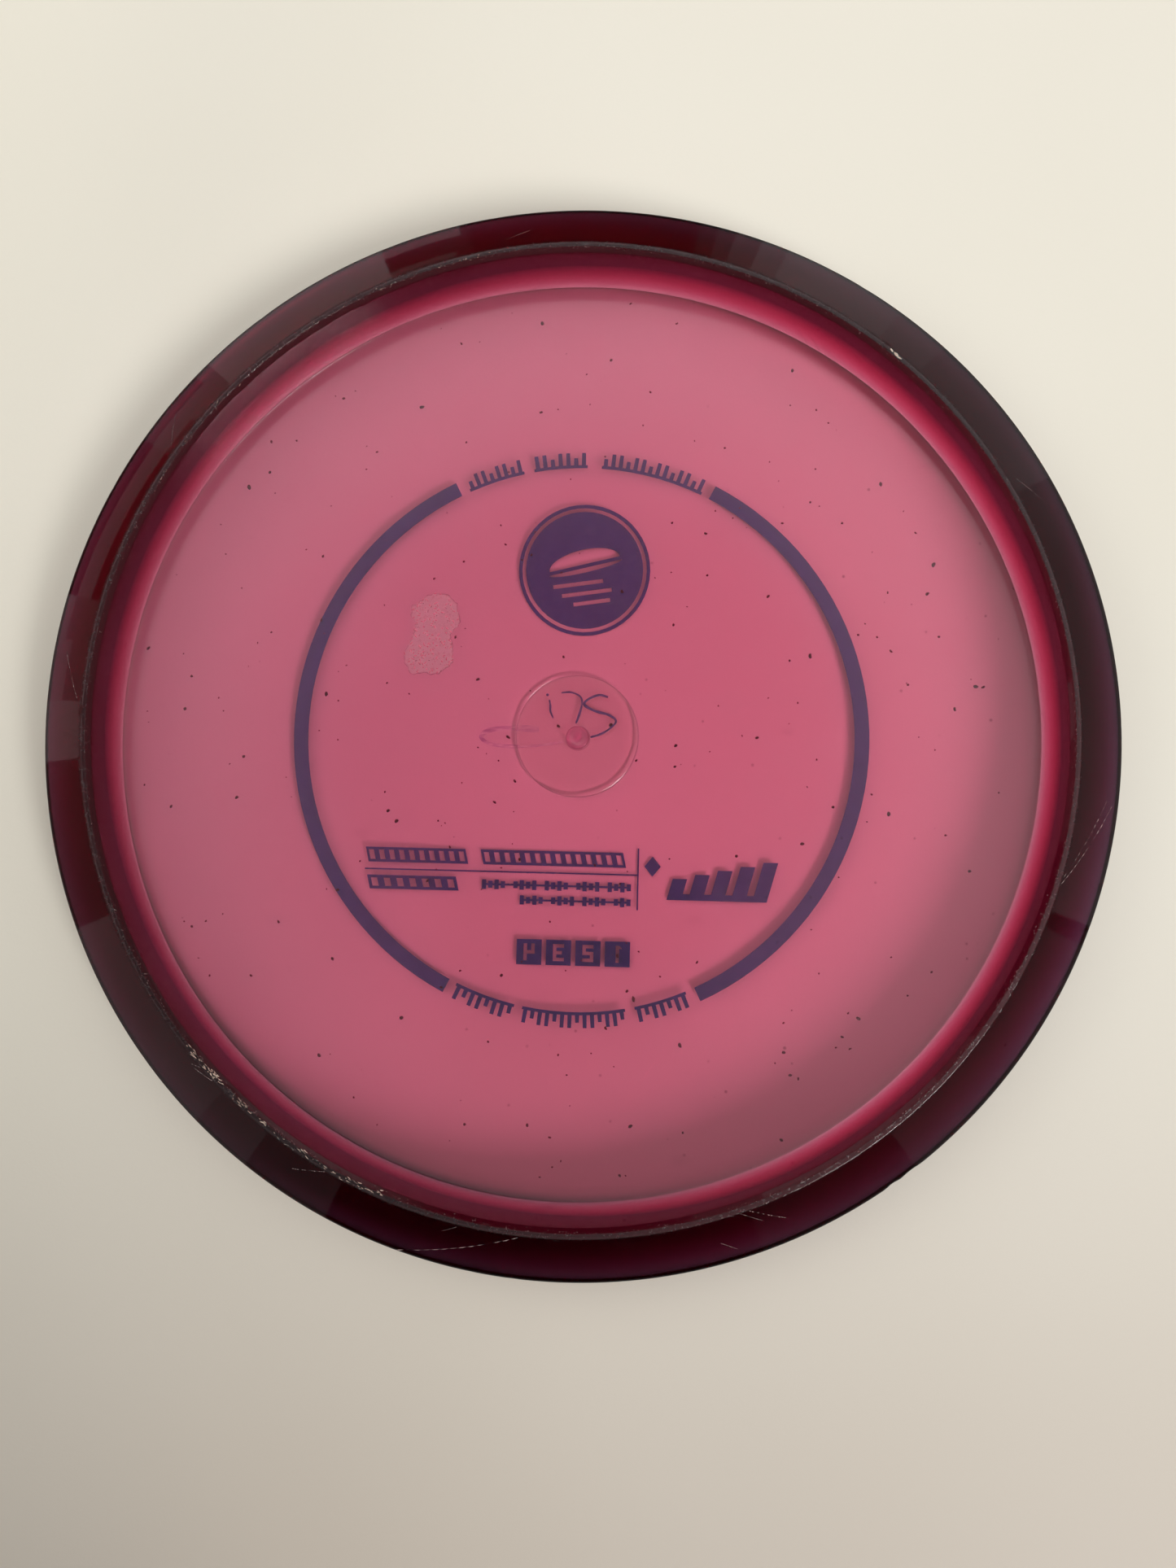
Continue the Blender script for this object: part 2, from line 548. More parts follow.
def make_body():
    rings = profile()
    points, starts = [], []
    total = 0
    for r, z, n in rings:
        starts.append(total)
        a = 2 * math.pi * np.arange(n) / n
        # the nub is a little off the axis; the shift dies away inside the gate line
        on_nub = z > PLATE_T * 0.9 and r < 9 * MM
        fade = float(np.clip((8.5 * MM - r) / (4.5 * MM), 0, 1)) if on_nub else 0.0
        points.append(np.stack([r * np.cos(a) + NUB_AT[0] * fade, r * np.sin(a) + NUB_AT[1] * fade, np.full(n, z)], 1))
        total += n
    faces = []
    for i in range(len(rings) - 1):
        faces += stitch(starts[i], rings[i][2], starts[i + 1], rings[i + 1][2])
    points = np.concatenate(points)
    # outward directions in the section, for the wear
    normals = np.zeros_like(points)
    for i, (r, z, n) in enumerate(rings):
        before, after = rings[max(i - 1, 0)], rings[min(i + 1, len(rings) - 1)]
        dr, dz = after[0] - before[0], after[1] - before[1]
        length = math.hypot(dr, dz) or 1.0
        nr, nz = dz / length, -dr / length
        a = 2 * math.pi * np.arange(n) / n
        normals[starts[i] : starts[i] + n] = np.stack([nr * np.cos(a), nr * np.sin(a), np.full(n, nz)], 1)
    rim = np.concatenate([np.full(n, 1.0 if n == 1440 else 0.0) for _, _, n in rings])
    points -= normals * wear(points, rim)[:, None]
    points[:, 2] = np.clip(points[:, 2], 0.0, HEIGHT)
    ob = new_object("disc_moulding", points, faces, plastic)
    return ob


body = make_body()
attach(body, "root")
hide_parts("disc_body")


# ---------------------------------------------------------------- foil: the CAD's own solids, with a real finish
for name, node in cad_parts.items():
    if name.startswith("foil_"):
        node.data.materials.clear()
        node.data.materials.append(foil_material)


# ---------------------------------------------------------------- small solids laid on a surface
def surface_normal(x, y):
    """Upward normal of the plate's underside at (x, y)."""
    r = math.hypot(x, y)
    e = 0.05 * MM
    slope = float(under_z(r + e) - under_z(max(r - e, 0))) / (2 * e) if r > e else 0.0
    return Vector((-slope * x / max(r, e), -slope * y / max(r, e), 1.0)).normalized()


def stroke(path, widths, thickness, gap, name, material, seed=0):
    """A pen stroke: a thin closed ribbon with rounded ends, following the underside, its width changing along it."""
    path = np.array(path, float)
    widths = np.array(widths, float)
    # length along the path
    seg = np.hypot(*np.diff(path, axis=0).T)
    s = np.concatenate([[0], np.cumsum(seg)])
    count = max(12, int(s[-1] / (0.12 * MM)))
    t = np.linspace(0, s[-1], count)
    xy = np.stack([np.interp(t, s, path[:, 0]), np.interp(t, s, path[:, 1])], 1)
    w = np.interp(t, s, widths)
    g = np.random.default_rng(seed)
    w = w * (1 + 0.10 * np.interp(np.arange(count), np.arange(0, count + 6, 6), g.normal(0, 1, len(np.arange(0, count + 6, 6)))))
    d = np.gradient(xy, axis=0)
    d /= np.hypot(d[:, 0], d[:, 1])[:, None]
    n = np.stack([-d[:, 1], d[:, 0]], 1)
    end = np.minimum(t, s[-1] - t)
    w = w * np.sqrt(np.clip(1 - (1 - np.clip(end / (0.28 * MM), 0, 1)) ** 2, 0.02, 1))
    across = np.array([-1.0, -0.6, 0.0, 0.6, 1.0])
    crown = np.array([0.25, 0.85, 1.0, 0.85, 0.25])
    verts, faces = [], []
    for i in range(count):
        for a, c in zip(across, crown):
            x, y = xy[i] + n[i] * a * w[i] / 2
            verts.append((x, y, float(under_z(math.hypot(x, y))) + gap + thickness * c))
        for a in across[::-1]:
            x, y = xy[i] + n[i] * a * w[i] / 2
            verts.append((x, y, float(under_z(math.hypot(x, y))) + gap))
    k = 10
    for i in range(count - 1):
        for j in range(k):
            faces.append((i * k + j, i * k + (j + 1) % k, (i + 1) * k + (j + 1) % k, (i + 1) * k + j))
    faces.append(tuple(range(k))[::-1])
    faces.append(tuple((count - 1) * k + j for j in range(k)))
    ob = new_object(name, verts, faces, material)
    bm = bmesh.new()
    bm.from_mesh(ob.data)
    bmesh.ops.recalc_face_normals(bm, faces=bm.faces)
    bm.to_mesh(ob.data)
    bm.free()
    return ob


def smooth_path(points, count=10):
    """Catmull-Rom through the points."""
    pts = [np.array(p, float) for p in points]
    ends = [pts[0], *pts, pts[-1]]
    out = []
    for i in range(len(pts) - 1):
        p0, p1, p2, p3 = ends[i : i + 4]
        for k in range(count):
            t = k / count
            out.append(0.5 * (2 * p1 + (p2 - p0) * t + (2 * p0 - 5 * p1 + 4 * p2 - p3) * t * t + (3 * p1 - p0 - 3 * p2 + p3) * t**3))
    out.append(pts[-1])
    return np.array(out)


INK = {
    "ink_1": ([(-5.85, 7.7), (-5.65, 6.5), (-5.6, 5.2), (-5.0, 3.7)], [0.30, 0.42, 0.40, 0.24]),
    "ink_7": ([(-3.4, 9.1), (-1.4, 9.2), (0.5, 8.4), (1.0, 7.0), (0.4, 4.5), (-0.3, 2.6)], [0.28, 0.34, 0.34, 0.34, 0.44, 0.36]),
    "ink_5": (
        [(6.5, 8.15), (4.6, 8.6), (2.4, 7.8), (1.5, 6.6), (3.6, 5.3), (6.6, 4.4), (8.1, 3.1), (6.6, 1.4), (4.6, 0.3), (2.7, -0.25)],
        [0.50, 0.46, 0.42, 0.50, 0.50, 0.52, 0.42, 0.34, 0.40, 0.42],
    ),
}
for i, (name, (path, widths)) in enumerate(INK.items()):
    p = smooth_path(path) * MM
    w = np.interp(np.linspace(0, 1, len(p)), np.linspace(0, 1, len(widths)), widths) * 1.05 * MM
    ob = stroke(p, w, 0.022 * MM, 0.012 * MM, f"{name}_stroke", ink_material, seed=i + 3)
    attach(ob, "root")
    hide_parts(name)
# where the pen first touched down
dot = stroke(np.array([(-6.28, 9.0), (-6.24, 8.75), (-6.18, 8.4)]) * MM, [0.55 * MM, 0.62 * MM, 0.5 * MM], 0.03 * MM, 0.012 * MM, "ink_1_dot", ink_material, seed=9)
# a looped stroke that was wiped before it dried: only a bluish trace of it is left
LOOP = [(-2.9, -1.1), (-5.4, -1.6), (-10.4, -2.15), (-15.4, -2.05), (-18.9, -1.3), (-20.15, -0.1), (-19.0, 1.0), (-16.4, 1.55), (-12.5, 1.7), (-8.0, 1.3)]
p = smooth_path(LOOP) * MM
w = np.interp(np.linspace(0, 1, len(p)), np.linspace(0, 1, 7), [0.45, 0.6, 0.8, 0.8, 1.1, 1.0, 1.5]) * MM
loop = stroke(p, w, 0.012 * MM, 0.008 * MM, "ink_trace", trace_material, seed=12)
for ob in (dot, loop):
    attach(ob, "root")


RESIDUE_AT = (-30.8, 21.6)
RESIDUE = (
    (-24.6, 23.7), (-25.6, 22.6), (-26.6, 21.7), (-26.3, 19.1), (-26.1, 15.3), (-29.5, 12.8), (-35.0, 13.2), (-36.3, 15.4), (-36.4, 17.5),
    (-35.2, 20.0), (-34.4, 21.8), (-33.9, 24.0), (-35.1, 25.2), (-34.7, 27.5), (-32.9, 28.4), (-31.4, 29.8), (-30.0, 30.2), (-27.1, 29.9), (-25.4, 28.0),
)  # fmt: skip


def make_residue():
    """What an old label left: an uneven film with a torn, slightly raised edge."""
    g = np.random.default_rng(23)
    cx, cy = RESIDUE_AT
    corner = np.array(RESIDUE) - (cx, cy)
    # the outline as a radius by angle, through the torn corners, with a fine ragged edge on top
    around, layers = 288, 24
    loop = np.concatenate([corner, corner[:1]])
    legs = np.hypot(*np.diff(loop, axis=0).T)
    s = np.concatenate([[0], np.cumsum(legs)])
    fine = np.linspace(0, s[-1], 4000)
    walk = np.stack([np.interp(fine, s, loop[:, 0]), np.interp(fine, s, loop[:, 1])], 1)
    walk_a = np.unwrap(np.arctan2(walk[:, 1], walk[:, 0]))
    order = np.argsort(walk_a)
    angle = np.linspace(0, 2 * math.pi, around, endpoint=False)
    base_a, base_r = walk_a[order], np.hypot(*walk[order].T)
    wrapped = (angle - base_a[0]) % (2 * math.pi) + base_a[0]
    reach = np.interp(wrapped, base_a, base_r)
    reach = (np.roll(reach, 1) + 2 * reach + np.roll(reach, -1)) / 4
    ragged = np.interp(np.arange(around), np.arange(0, around + 3, 3), np.append(g.normal(0, 0.14, around // 3), 0))
    reach = reach + np.clip(ragged, -0.3, 0.3)
    bumps = [(g.uniform(-5, 5), g.uniform(-9, 9), g.uniform(0.25, 1.1), g.uniform(-0.7, 1.0)) for _ in range(120)]
    pits = [(g.uniform(-4, 4), g.uniform(-8, 6), g.uniform(0.10, 0.22)) for _ in range(26)]
    top, bottom, edges = [], [], []
    for j in range(layers + 1):
        f = (j / layers) ** 0.75
        for a, reach_a in zip(angle, reach):
            x, y = reach_a * f * math.cos(a), reach_a * f * math.sin(a)
            inset = (1 - f) * reach_a
            h = 0.040 + 0.035 * math.exp(-((inset - 0.25) / 0.22) ** 2)
            h += 0.022 * sum(v * math.exp(-((x - bx) ** 2 + (y - by) ** 2) / w**2) for bx, by, w, v in bumps)
            h -= 0.035 * sum(math.exp(-((x - bx) ** 2 + (y - by) ** 2) / w**2) for bx, by, w in pits)
            h = min(max(h, 0.012), 0.12) * (0.3 if j == layers else 1.0)
            wx, wy = (cx + x) * MM, (cy + y) * MM
            base = float(under_z(math.hypot(wx, wy)))
            top.append((wx, wy, base + (0.010 + h) * MM))
            bottom.append((wx, wy, base + 0.010 * MM))
            edges.append(math.exp(-((inset / 0.20) ** 2)))
            if j == 0:
                break
    count = len(top)
    verts = top + bottom
    faces = []
    for i in range(around):
        faces.append((0, 1 + i, 1 + (i + 1) % around))
        faces.append((count, count + 1 + (i + 1) % around, count + 1 + i))
    for j in range(1, layers):
        a0, b0 = 1 + (j - 1) * around, 1 + j * around
        for i in range(around):
            i2 = (i + 1) % around
            faces.append((a0 + i, b0 + i, b0 + i2, a0 + i2))
            faces.append((count + a0 + i2, count + b0 + i2, count + b0 + i, count + a0 + i))
    last = 1 + (layers - 1) * around
    for i in range(around):
        i2 = (i + 1) % around
        faces.append((last + i, count + last + i, count + last + i2, last + i2))
    ob = new_object("label_residue_film", verts, faces, glue_material)
    attribute = ob.data.attributes.new("edge", "FLOAT", "POINT")
    attribute.data.foreach_set("value", edges + edges)
    return ob


residue = make_residue()
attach(residue, "root")
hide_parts("label_residue")


def inside_outline(x, y):
    hit = False
    for (x0, y0), (x1, y1) in zip(RESIDUE, RESIDUE[1:] + RESIDUE[:1]):
        if (y0 > y) != (y1 > y) and x < (x1 - x0) * (y - y0) / (y1 - y0) + x0:
            hit = not hit
    return hit


# ---------------------------------------------------------------- specks in the plastic, and scuffs on it
def blob(verts, faces, centre, axes, lumps, g):
    """Adds one small closed lump: an octahedron split once and pushed about."""
    base = [Vector(v) for v in ((1, 0, 0), (-1, 0, 0), (0, 1, 0), (0, -1, 0), (0, 0, 1), (0, 0, -1))]
    tris = [(0, 2, 4), (2, 1, 4), (1, 3, 4), (3, 0, 4), (2, 0, 5), (1, 2, 5), (3, 1, 5), (0, 3, 5)]
    pts, mids, out = list(base), {}, []

    def mid(a, b):
        key = (min(a, b), max(a, b))
        if key not in mids:
            mids[key] = len(pts)
            pts.append(((pts[a] + pts[b]) / 2).normalized())
        return mids[key]

    for a, b, c in tris:
        ab, bc, ca = mid(a, b), mid(b, c), mid(c, a)
        out += [(a, ab, ca), (b, bc, ab), (c, ca, bc), (ab, bc, ca)]
    first = len(verts)
    for p in pts:
        q = p * (1 + lumps * g.uniform(-1, 1))
        v = centre + axes[0] * q.x + axes[1] * q.y + axes[2] * q.z
        verts.append(tuple(v))
    faces += [(first + a, first + b, first + c) for a, b, c in out]


def make_specks():
    g = np.random.default_rng(41)
    verts, faces = [], []
    made = 0
    while made < 280:
        r = 92 * MM * math.sqrt(g.uniform())
        a = g.uniform(0, 2 * math.pi)
        x, y = r * math.cos(a), r * math.sin(a)
        size = float(np.clip(g.lognormal(math.log(0.165), 0.45), 0.08, 0.36)) * MM
        depth = g.uniform(0.26, 1.3) * MM
        z = float(under_z(r)) - depth
        spin = g.uniform(0, math.pi)
        stretch = g.uniform(1.0, 1.7)
        axes = (
            Vector((math.cos(spin), math.sin(spin), 0)) * size * stretch,
            Vector((-math.sin(spin), math.cos(spin), 0)) * size,
            Vector((0, 0, 1)) * size * 0.35,
        )
        blob(verts, faces, Vector((x, y, z)), axes, 0.25, g)
        made += 1
    return new_object("specks", verts, faces, speck_material)


specks = make_specks()
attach(specks, "root")



def on_lower_wing(r):
    """Height of the lower wing at radius r."""
    low = lower_wing(1, 60)[1][::-1]
    return float(np.interp(r, low[:, 0], low[:, 1]))


def make_scuffs():
    """Pale torn grains and whiskers on the foot, and long light scratches down the lower wing."""
    g = np.random.default_rng(77)
    verts, faces = [], []

    def sliver(p, q, width, high):
        """A thin closed needle from p to q, bedded in the surface."""
        d = (q - p).normalized()
        up = Vector((0, 0, 1))
        side = d.cross(up).normalized() if abs(d.z) < 0.95 else Vector((1, 0, 0))
        lift = side.cross(d).normalized()
        mid = (p + q) / 2 + side * width * g.uniform(-0.4, 0.4)
        first = len(verts)
        ring = [mid + side * width / 2, mid + lift * high, mid - side * width / 2, mid - lift * high * 0.6]
        verts.extend([tuple(p), *[tuple(v) for v in ring], tuple(q)])
        for i in range(4):
            j = (i + 1) % 4
            faces.append((first, first + 1 + i, first + 1 + j))
            faces.append((first + 5, first + 1 + j, first + 1 + i))

    def at(angle, r, z, lift=0.0):
        return Vector((r * math.cos(angle), r * math.sin(angle), z + lift))

    def busy(angle):
        def hump(c, w):
            return math.exp(-((((angle - math.radians(c)) + math.pi) % (2 * math.pi) - math.pi) / w) ** 2)

        return min(1.0, 0.22 + 0.9 * hump(-137, 0.35) + 0.8 * hump(95, 0.75) + 0.5 * hump(-30, 0.4) + 0.45 * hump(-95, 0.5) + 0.4 * hump(150, 0.5))

    # grains on the flat of the foot and on its inner edge
    made = 0
    while made < 900:
        angle = g.uniform(-math.pi, math.pi)
        if g.uniform() > busy(angle):
            continue
        r = g.normal(96.55, 0.28) * MM
        r = float(np.clip(r, 95.95 * MM, 97.45 * MM))
        if r > FOOT_IN_R:
            z = HEIGHT
        else:
            z = HEIGHT - FOOT_ROUND + math.sqrt(max(FOOT_ROUND**2 - (FOOT_IN_R - r) ** 2, 0))
        along = g.uniform(0.05, 0.30) * MM
        p = at(angle, r, z - 0.015 * MM)
        q = at(angle + along / r, r + g.uniform(-0.08, 0.08) * MM, z - 0.015 * MM)
        sliver(p, q, g.uniform(0.03, 0.09) * MM, 0.014 * MM)
        made += 1
    # whiskers of torn plastic across the foot
    for _ in range(70):
        angle = g.uniform(-math.pi, math.pi)
        if g.uniform() > busy(angle):
            continue
        r0, r1 = g.uniform(95.9, 96.8) * MM, g.uniform(96.9, 98.6) * MM
        z0 = HEIGHT - FOOT_ROUND + math.sqrt(max(FOOT_ROUND**2 - max(FOOT_IN_R - r0, 0) ** 2, 0))
        z1 = HEIGHT if r1 < FOOT_OUT_R else on_lower_wing(r1)
        sliver(at(angle, r0, z0 - 0.02 * MM), at(angle + g.uniform(-0.012, 0.012), r1, z1 - 0.01 * MM), g.uniform(0.04, 0.10) * MM, 0.02 * MM)
    # long scratches down the wing, in short straight stretches so that they follow it
    for start, end, r0, r1, width in (
        (-18.0, -8.0, 97.9, 106.5, 0.13), (-17.2, -7.6, 98.0, 105.0, 0.08), (-70.0, -66.5, 97.8, 102.5, 0.16),
        (-71.0, -69.0, 97.8, 101.0, 0.12), (-96.0, -109.0, 98.0, 108.0, 0.15), (-103.0, -104.5, 98.2, 100.0, 0.10),
        (-74.0, -72.5, 103.0, 105.5, 0.10), (-119.0, -122.5, 97.8, 101.5, 0.15), (-135.5, -138.0, 97.8, 99.0, 0.14),
        (-137.5, -138.5, 97.7, 98.8, 0.16), (177.0, 171.0, 98.5, 104.0, 0.10), (98.0, 95.0, 100.0, 102.2, 0.12),
        (30.0, 26.0, 99.0, 103.0, 0.08), (145.0, 141.5, 99.0, 104.5, 0.09),
    ):  # fmt: skip
        steps = 14
        for i in range(steps):
            if g.uniform() < 0.12:
                continue
            t0, t1 = i / steps, (i + 0.93) / steps
            a0, a1 = (math.radians(start + (end - start) * t) for t in (t0, t1))
            q0, q1 = ((r0 + (r1 - r0) * t) * MM for t in (t0, t1))
            sliver(at(a0, q0, on_lower_wing(q0), -0.004 * MM), at(a1, q1, on_lower_wing(q1), -0.004 * MM), width * g.uniform(0.6, 1.2) * MM, 0.010 * MM)
    verts_clipped = [(x, y, min(z, HEIGHT - 0.0005 * MM)) for x, y, z in verts]
    return new_object("scuffs", verts_clipped, faces, scuff_material, smooth=False)


scuffs = make_scuffs()
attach(scuffs, "root")


def make_chips():
    """A beige crumb pressed into the foot, and a cluster of pale flakes where the foot was dragged over stone."""
    g = np.random.default_rng(91)
    verts, faces = [], []

    def lump(angle, r, along, across, up, turn=0.0):
        a = math.radians(angle)
        radial, tangent = Vector((math.cos(a), math.sin(a), 0)), Vector((-math.sin(a), math.cos(a), 0))
        c, k = math.cos(turn), math.sin(turn)
        axes = ((tangent * c + radial * k) * along * MM, (radial * c - tangent * k) * across * MM, Vector((0, 0, 1)) * up * MM)
        blob(verts, faces, radial * r * MM + Vector((0, 0, HEIGHT - up * 0.8 * MM)), axes, 0.28, g)

    lump(49.3, 97.25, 1.0, 0.34, 0.10, 0.15)
    lump(48.75, 97.1, 0.55, 0.28, 0.09, -0.2)
    lump(50.0, 97.35, 0.45, 0.22, 0.08, 0.3)
    for _ in range(16):
        lump(g.normal(-135.8, 0.45), g.normal(96.5, 0.28), g.uniform(0.12, 0.5), g.uniform(0.05, 0.13), 0.05, g.uniform(-0.7, 0.7))
    for _ in range(90):
        lump(g.uniform(-141, -112), g.normal(96.95, 0.30), g.uniform(0.10, 0.60), g.uniform(0.03, 0.09), 0.03, g.uniform(-0.35, 0.35))
    for _ in range(26):
        lump(g.uniform(100, 150), g.normal(96.7, 0.25), g.uniform(0.06, 0.30), g.uniform(0.03, 0.06), 0.03, g.uniform(-0.5, 0.5))
    verts = [(x, y, min(z, HEIGHT - 0.0005 * MM)) for x, y, z in verts]
    return new_object("chips", verts, faces, chip_material, smooth=False)


def make_crumbs():
    """Bits of label paper left in the glue: pale pink flecks all over it, and a few dark ones."""
    g = np.random.default_rng(58)
    sets = []
    for name, count, low, high, material in (("residue_crumbs", 190, 0.07, 0.22, crumb_material), ("residue_grit", 30, 0.06, 0.13, speck_material)):
        verts, faces, made = [], [], 0
        while made < count:
            x, y = g.uniform(-36.4, -24.6), g.uniform(12.8, 30.2)
            if not inside_outline(x, y):
                continue
            size, spin = g.uniform(low, high) * MM, g.uniform(0, math.pi)
            axes = (
                Vector((math.cos(spin), math.sin(spin), 0)) * size * g.uniform(1.0, 2.2),
                Vector((-math.sin(spin), math.cos(spin), 0)) * size * 0.7,
                Vector((0, 0, 1)) * 0.02 * MM,
            )
            z = float(under_z(math.hypot(x, y) * MM)) + 0.10 * MM
            blob(verts, faces, Vector((x * MM, y * MM, z)), axes, 0.3, g)
            made += 1
        ob = new_object(name, verts, faces, material)
        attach(ob, "root")
        sets.append(ob)
    return sets


crumbs = make_crumbs()
chips = make_chips()
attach(chips, "root")


# ---------------------------------------------------------------- stage: floor, soft light, dark cards, camera
def make_floor():
    m = Nodes("floor")
    co = m.coords()
    grain = m.noise(co, 1400.0, detail=2.0)
    broad = m.noise(co, 6.0, detail=2.0)
    colour = m.mix_colour(m.ramp(broad, 0.35, 0.65), (0.835, 0.800, 0.718), (0.862, 0.830, 0.755))
    # the sheet is a shade duller toward the near edge and cleaner at the left
    sep = m.new("ShaderNodeSeparateXYZ", Vector=co)
    across, along = sep.outputs["X"], sep.outputs["Y"]
    dull = m.maths("MULTIPLY", m.ramp(along, -0.20, 0.0, 1.0, 0.0, smooth=True), m.ramp(across, -0.20, -0.05, 0.4, 1.0, smooth=True))
    clean = m.maths("MULTIPLY", m.ramp(across, -0.15, -0.07, 1.0, 0.0, smooth=True), m.ramp(along, -0.12, -0.01, smooth=True))
    colour = m.mix_colour(m.maths("MULTIPLY", dull, 0.37), colour, (0.25, 0.12, 0.08))
    colour = m.mix_colour(m.maths("MULTIPLY", clean, 0.65), colour, (0.965, 0.925, 0.82))
    p = m.new("ShaderNodeBsdfPrincipled", Base_Color=colour, Roughness=0.55, Normal=m.bump(grain, 0.00004, 0.5))
    m.nt.links.new(p.outputs[0], m.out.inputs["Surface"])
    s = 3.0
    ob = new_object("floor", [(-s, -s, -0.00006), (s, -s, -0.00006), (s, s, -0.00006), (-s, s, -0.00006)], [(0, 1, 2, 3)], m.mat, smooth=False)
    ob.visible_glossy = False  # the rim's mirror images come from the studio panels instead


def make_world():
    world = bpy.data.worlds.new("studio")
    bpy.context.scene.world = world
    world.use_nodes = True
    nt = world.node_tree
    nt.nodes.clear()
    out = nt.nodes.new("ShaderNodeOutputWorld")
    bg = nt.nodes.new("ShaderNodeBackground")
    co = nt.nodes.new("ShaderNodeTexCoord")
    sep = nt.nodes.new("ShaderNodeSeparateXYZ")
    nt.links.new(co.outputs["Generated"], sep.inputs[0])

    def maths(op, a, b):
        n = nt.nodes.new("ShaderNodeMath")
        n.operation = op
        for i, v in enumerate((a, b)):
            if isinstance(v, bpy.types.NodeSocket):
                nt.links.new(v, n.inputs[i])
            else:
                n.inputs[i].default_value = v
        return n.outputs[0]

    up = maths("MAXIMUM", sep.outputs["Z"], 0.0)
    level = maths("ADD", 0.125, maths("MULTIPLY", 0.96, maths("MULTIPLY", up, up)))
    side = maths("ADD", 1.0, maths("MULTIPLY", sep.outputs["X"], 0.07))
    nt.links.new(maths("MULTIPLY", level, side), bg.inputs["Strength"])
    mix = nt.nodes.new("ShaderNodeMix")
    mix.data_type = "RGBA"
    nt.links.new(maths("ADD", 0.5, maths("MULTIPLY", sep.outputs["X"], 0.5)), mix.inputs[0])
    mix.inputs[6].default_value = (1.0, 0.965, 0.89, 1)
    mix.inputs[7].default_value = (1.0, 0.99, 0.955, 1)
    nt.links.new(mix.outputs[2], bg.inputs["Color"])
    nt.links.new(bg.outputs[0], out.inputs["Surface"])


def area_light(name, azimuth, elevation, distance, size, power, colour, mirrored=True):
    data = bpy.data.lights.new(name, "AREA")
    data.shape = "DISK"
    data.size = size
    data.energy = power
    data.color = colour
    ob = bpy.data.objects.new(name, data)
    a, e = math.radians(azimuth), math.radians(elevation)
    at = Vector((math.cos(a) * math.cos(e), math.sin(a) * math.cos(e), math.sin(e))) * distance
    ob.location = at
    ob.rotation_euler = (-at).to_track_quat("-Z", "Y").to_euler()
    ob.visible_camera = False
    ob.visible_glossy = mirrored
    bpy.context.scene.collection.objects.link(ob)


def card(name, corners, colour, glow=0.0):
    """A dark studio card. It is never seen; it only shades."""
    m = Nodes(f"{name}_card")
    co = m.coords()
    n = m.noise(co, 9.0)
    p = m.new("ShaderNodeBsdfPrincipled", Base_Color=m.mix_colour(n, colour, tuple(c * 1.3 for c in colour)), Roughness=0.8, Emission_Color=(1.0, 0.97, 0.94, 1.0), Emission_Strength=glow)
    m.nt.links.new(p.outputs[0], m.out.inputs["Surface"])
    ob = new_object(name, corners, [tuple(range(len(corners)))], m.mat, smooth=False)
    ob.visible_camera = False
    ob.visible_glossy = False  # the mirrored surroundings are modelled on their own
    return ob


def make_panels():
    """A ring of grey studio panels, seen only in reflections: azimuths on the rim that mirror them, heights in degrees."""
    panels = [
        (0, 360, -19, 14, 0.25),
        (28, 46, -19, 14, 0.36), (46, 52, -19, 14, 0.43), (52, 66, -19, 14, 0.50), (66, 69, -19, 14, 0.38), (69, 72, -19, 14, 0.22), (72, 74, -19, 14, 0.12), (74, 76, -19, 14, 0.06), (76, 102, -19, 14, 0.02),
        (102, 112, -19, 14, 0.04), (104, 112, -2, 14, 0.16), (103, 112, -19, -7, 0.26), (112, 135, -19, 14, 0.44),
        (135, 146, -19, 14, 0.24), (141, 146, -1, 14, 0.10), (137, 146, -19, -6, 0.12), (146, 165, -19, 14, 0.03),
        (146, 165, -5.5, -1, 0.20), (165, 177, -5.5, 14, 0.15), (170, 177, -6, -3, 0.26), (177, 183.5, -19, 14, 0.33),
        (183.5, 202, -19, 14, 0.075), (202, 226, -19, 14, 0.26), (226, 233, -19, 14, 0.19), (233, 243, -19, 14, 0.09),
        (243, 290, -19, 14, 0.004), (290, 308, -19, 14, 0.035), (308, 337, -19, 14, 0.15), (337, 339, -19, 14, 0.05),
    ]  # fmt: skip
    radius = 0.9
    verts, faces, greys = [], [], []
    for k, (a0, a1, low, high, grey) in enumerate(panels):
        steps = max(1, int((a1 - a0) / 3))
        r = radius - 0.002 * k
        first = len(verts)
        for i in range(steps + 1):
            a = math.radians(a0 + (a1 - a0) * i / steps)
            a += 0.09 * math.cos(a) + 0.037 * math.sin(a)
            for e in (low, high):
                verts.append((r * math.cos(a), r * math.sin(a), 0.015 + 0.8 * math.tan(math.radians(e))))
        for i in range(steps):
            j = first + 2 * i
            faces.append((j, j + 1, j + 3, j + 2))
            greys.append(grey)
    glow_mesh("panels", verts, faces, greys)


def glow_mesh(name, verts, faces, greys, domain="FACE"):
    """Grey glowing faces that are seen only in reflections."""
    m = Nodes(name)
    n = m.noise(m.coords(), 3.0)
    level = m.new("ShaderNodeAttribute")
    level.attribute_name = "grey"
    strength = m.maths("MULTIPLY", level.outputs["Fac"], m.ramp(n, 0.3, 0.7, 0.90, 1.10))
    e = m.new("ShaderNodeEmission", Color=(1.0, 0.97, 0.98, 1.0), Strength=strength)
    m.nt.links.new(e.outputs[0], m.out.inputs["Surface"])
    ob = new_object(name, verts, faces, m.mat, smooth=False)
    attribute = ob.data.attributes.new("grey", "FLOAT", domain)
    attribute.data.foreach_set("value", greys)
    ob.visible_camera = ob.visible_diffuse = ob.visible_transmission = ob.visible_shadow = ob.visible_volume_scatter = False


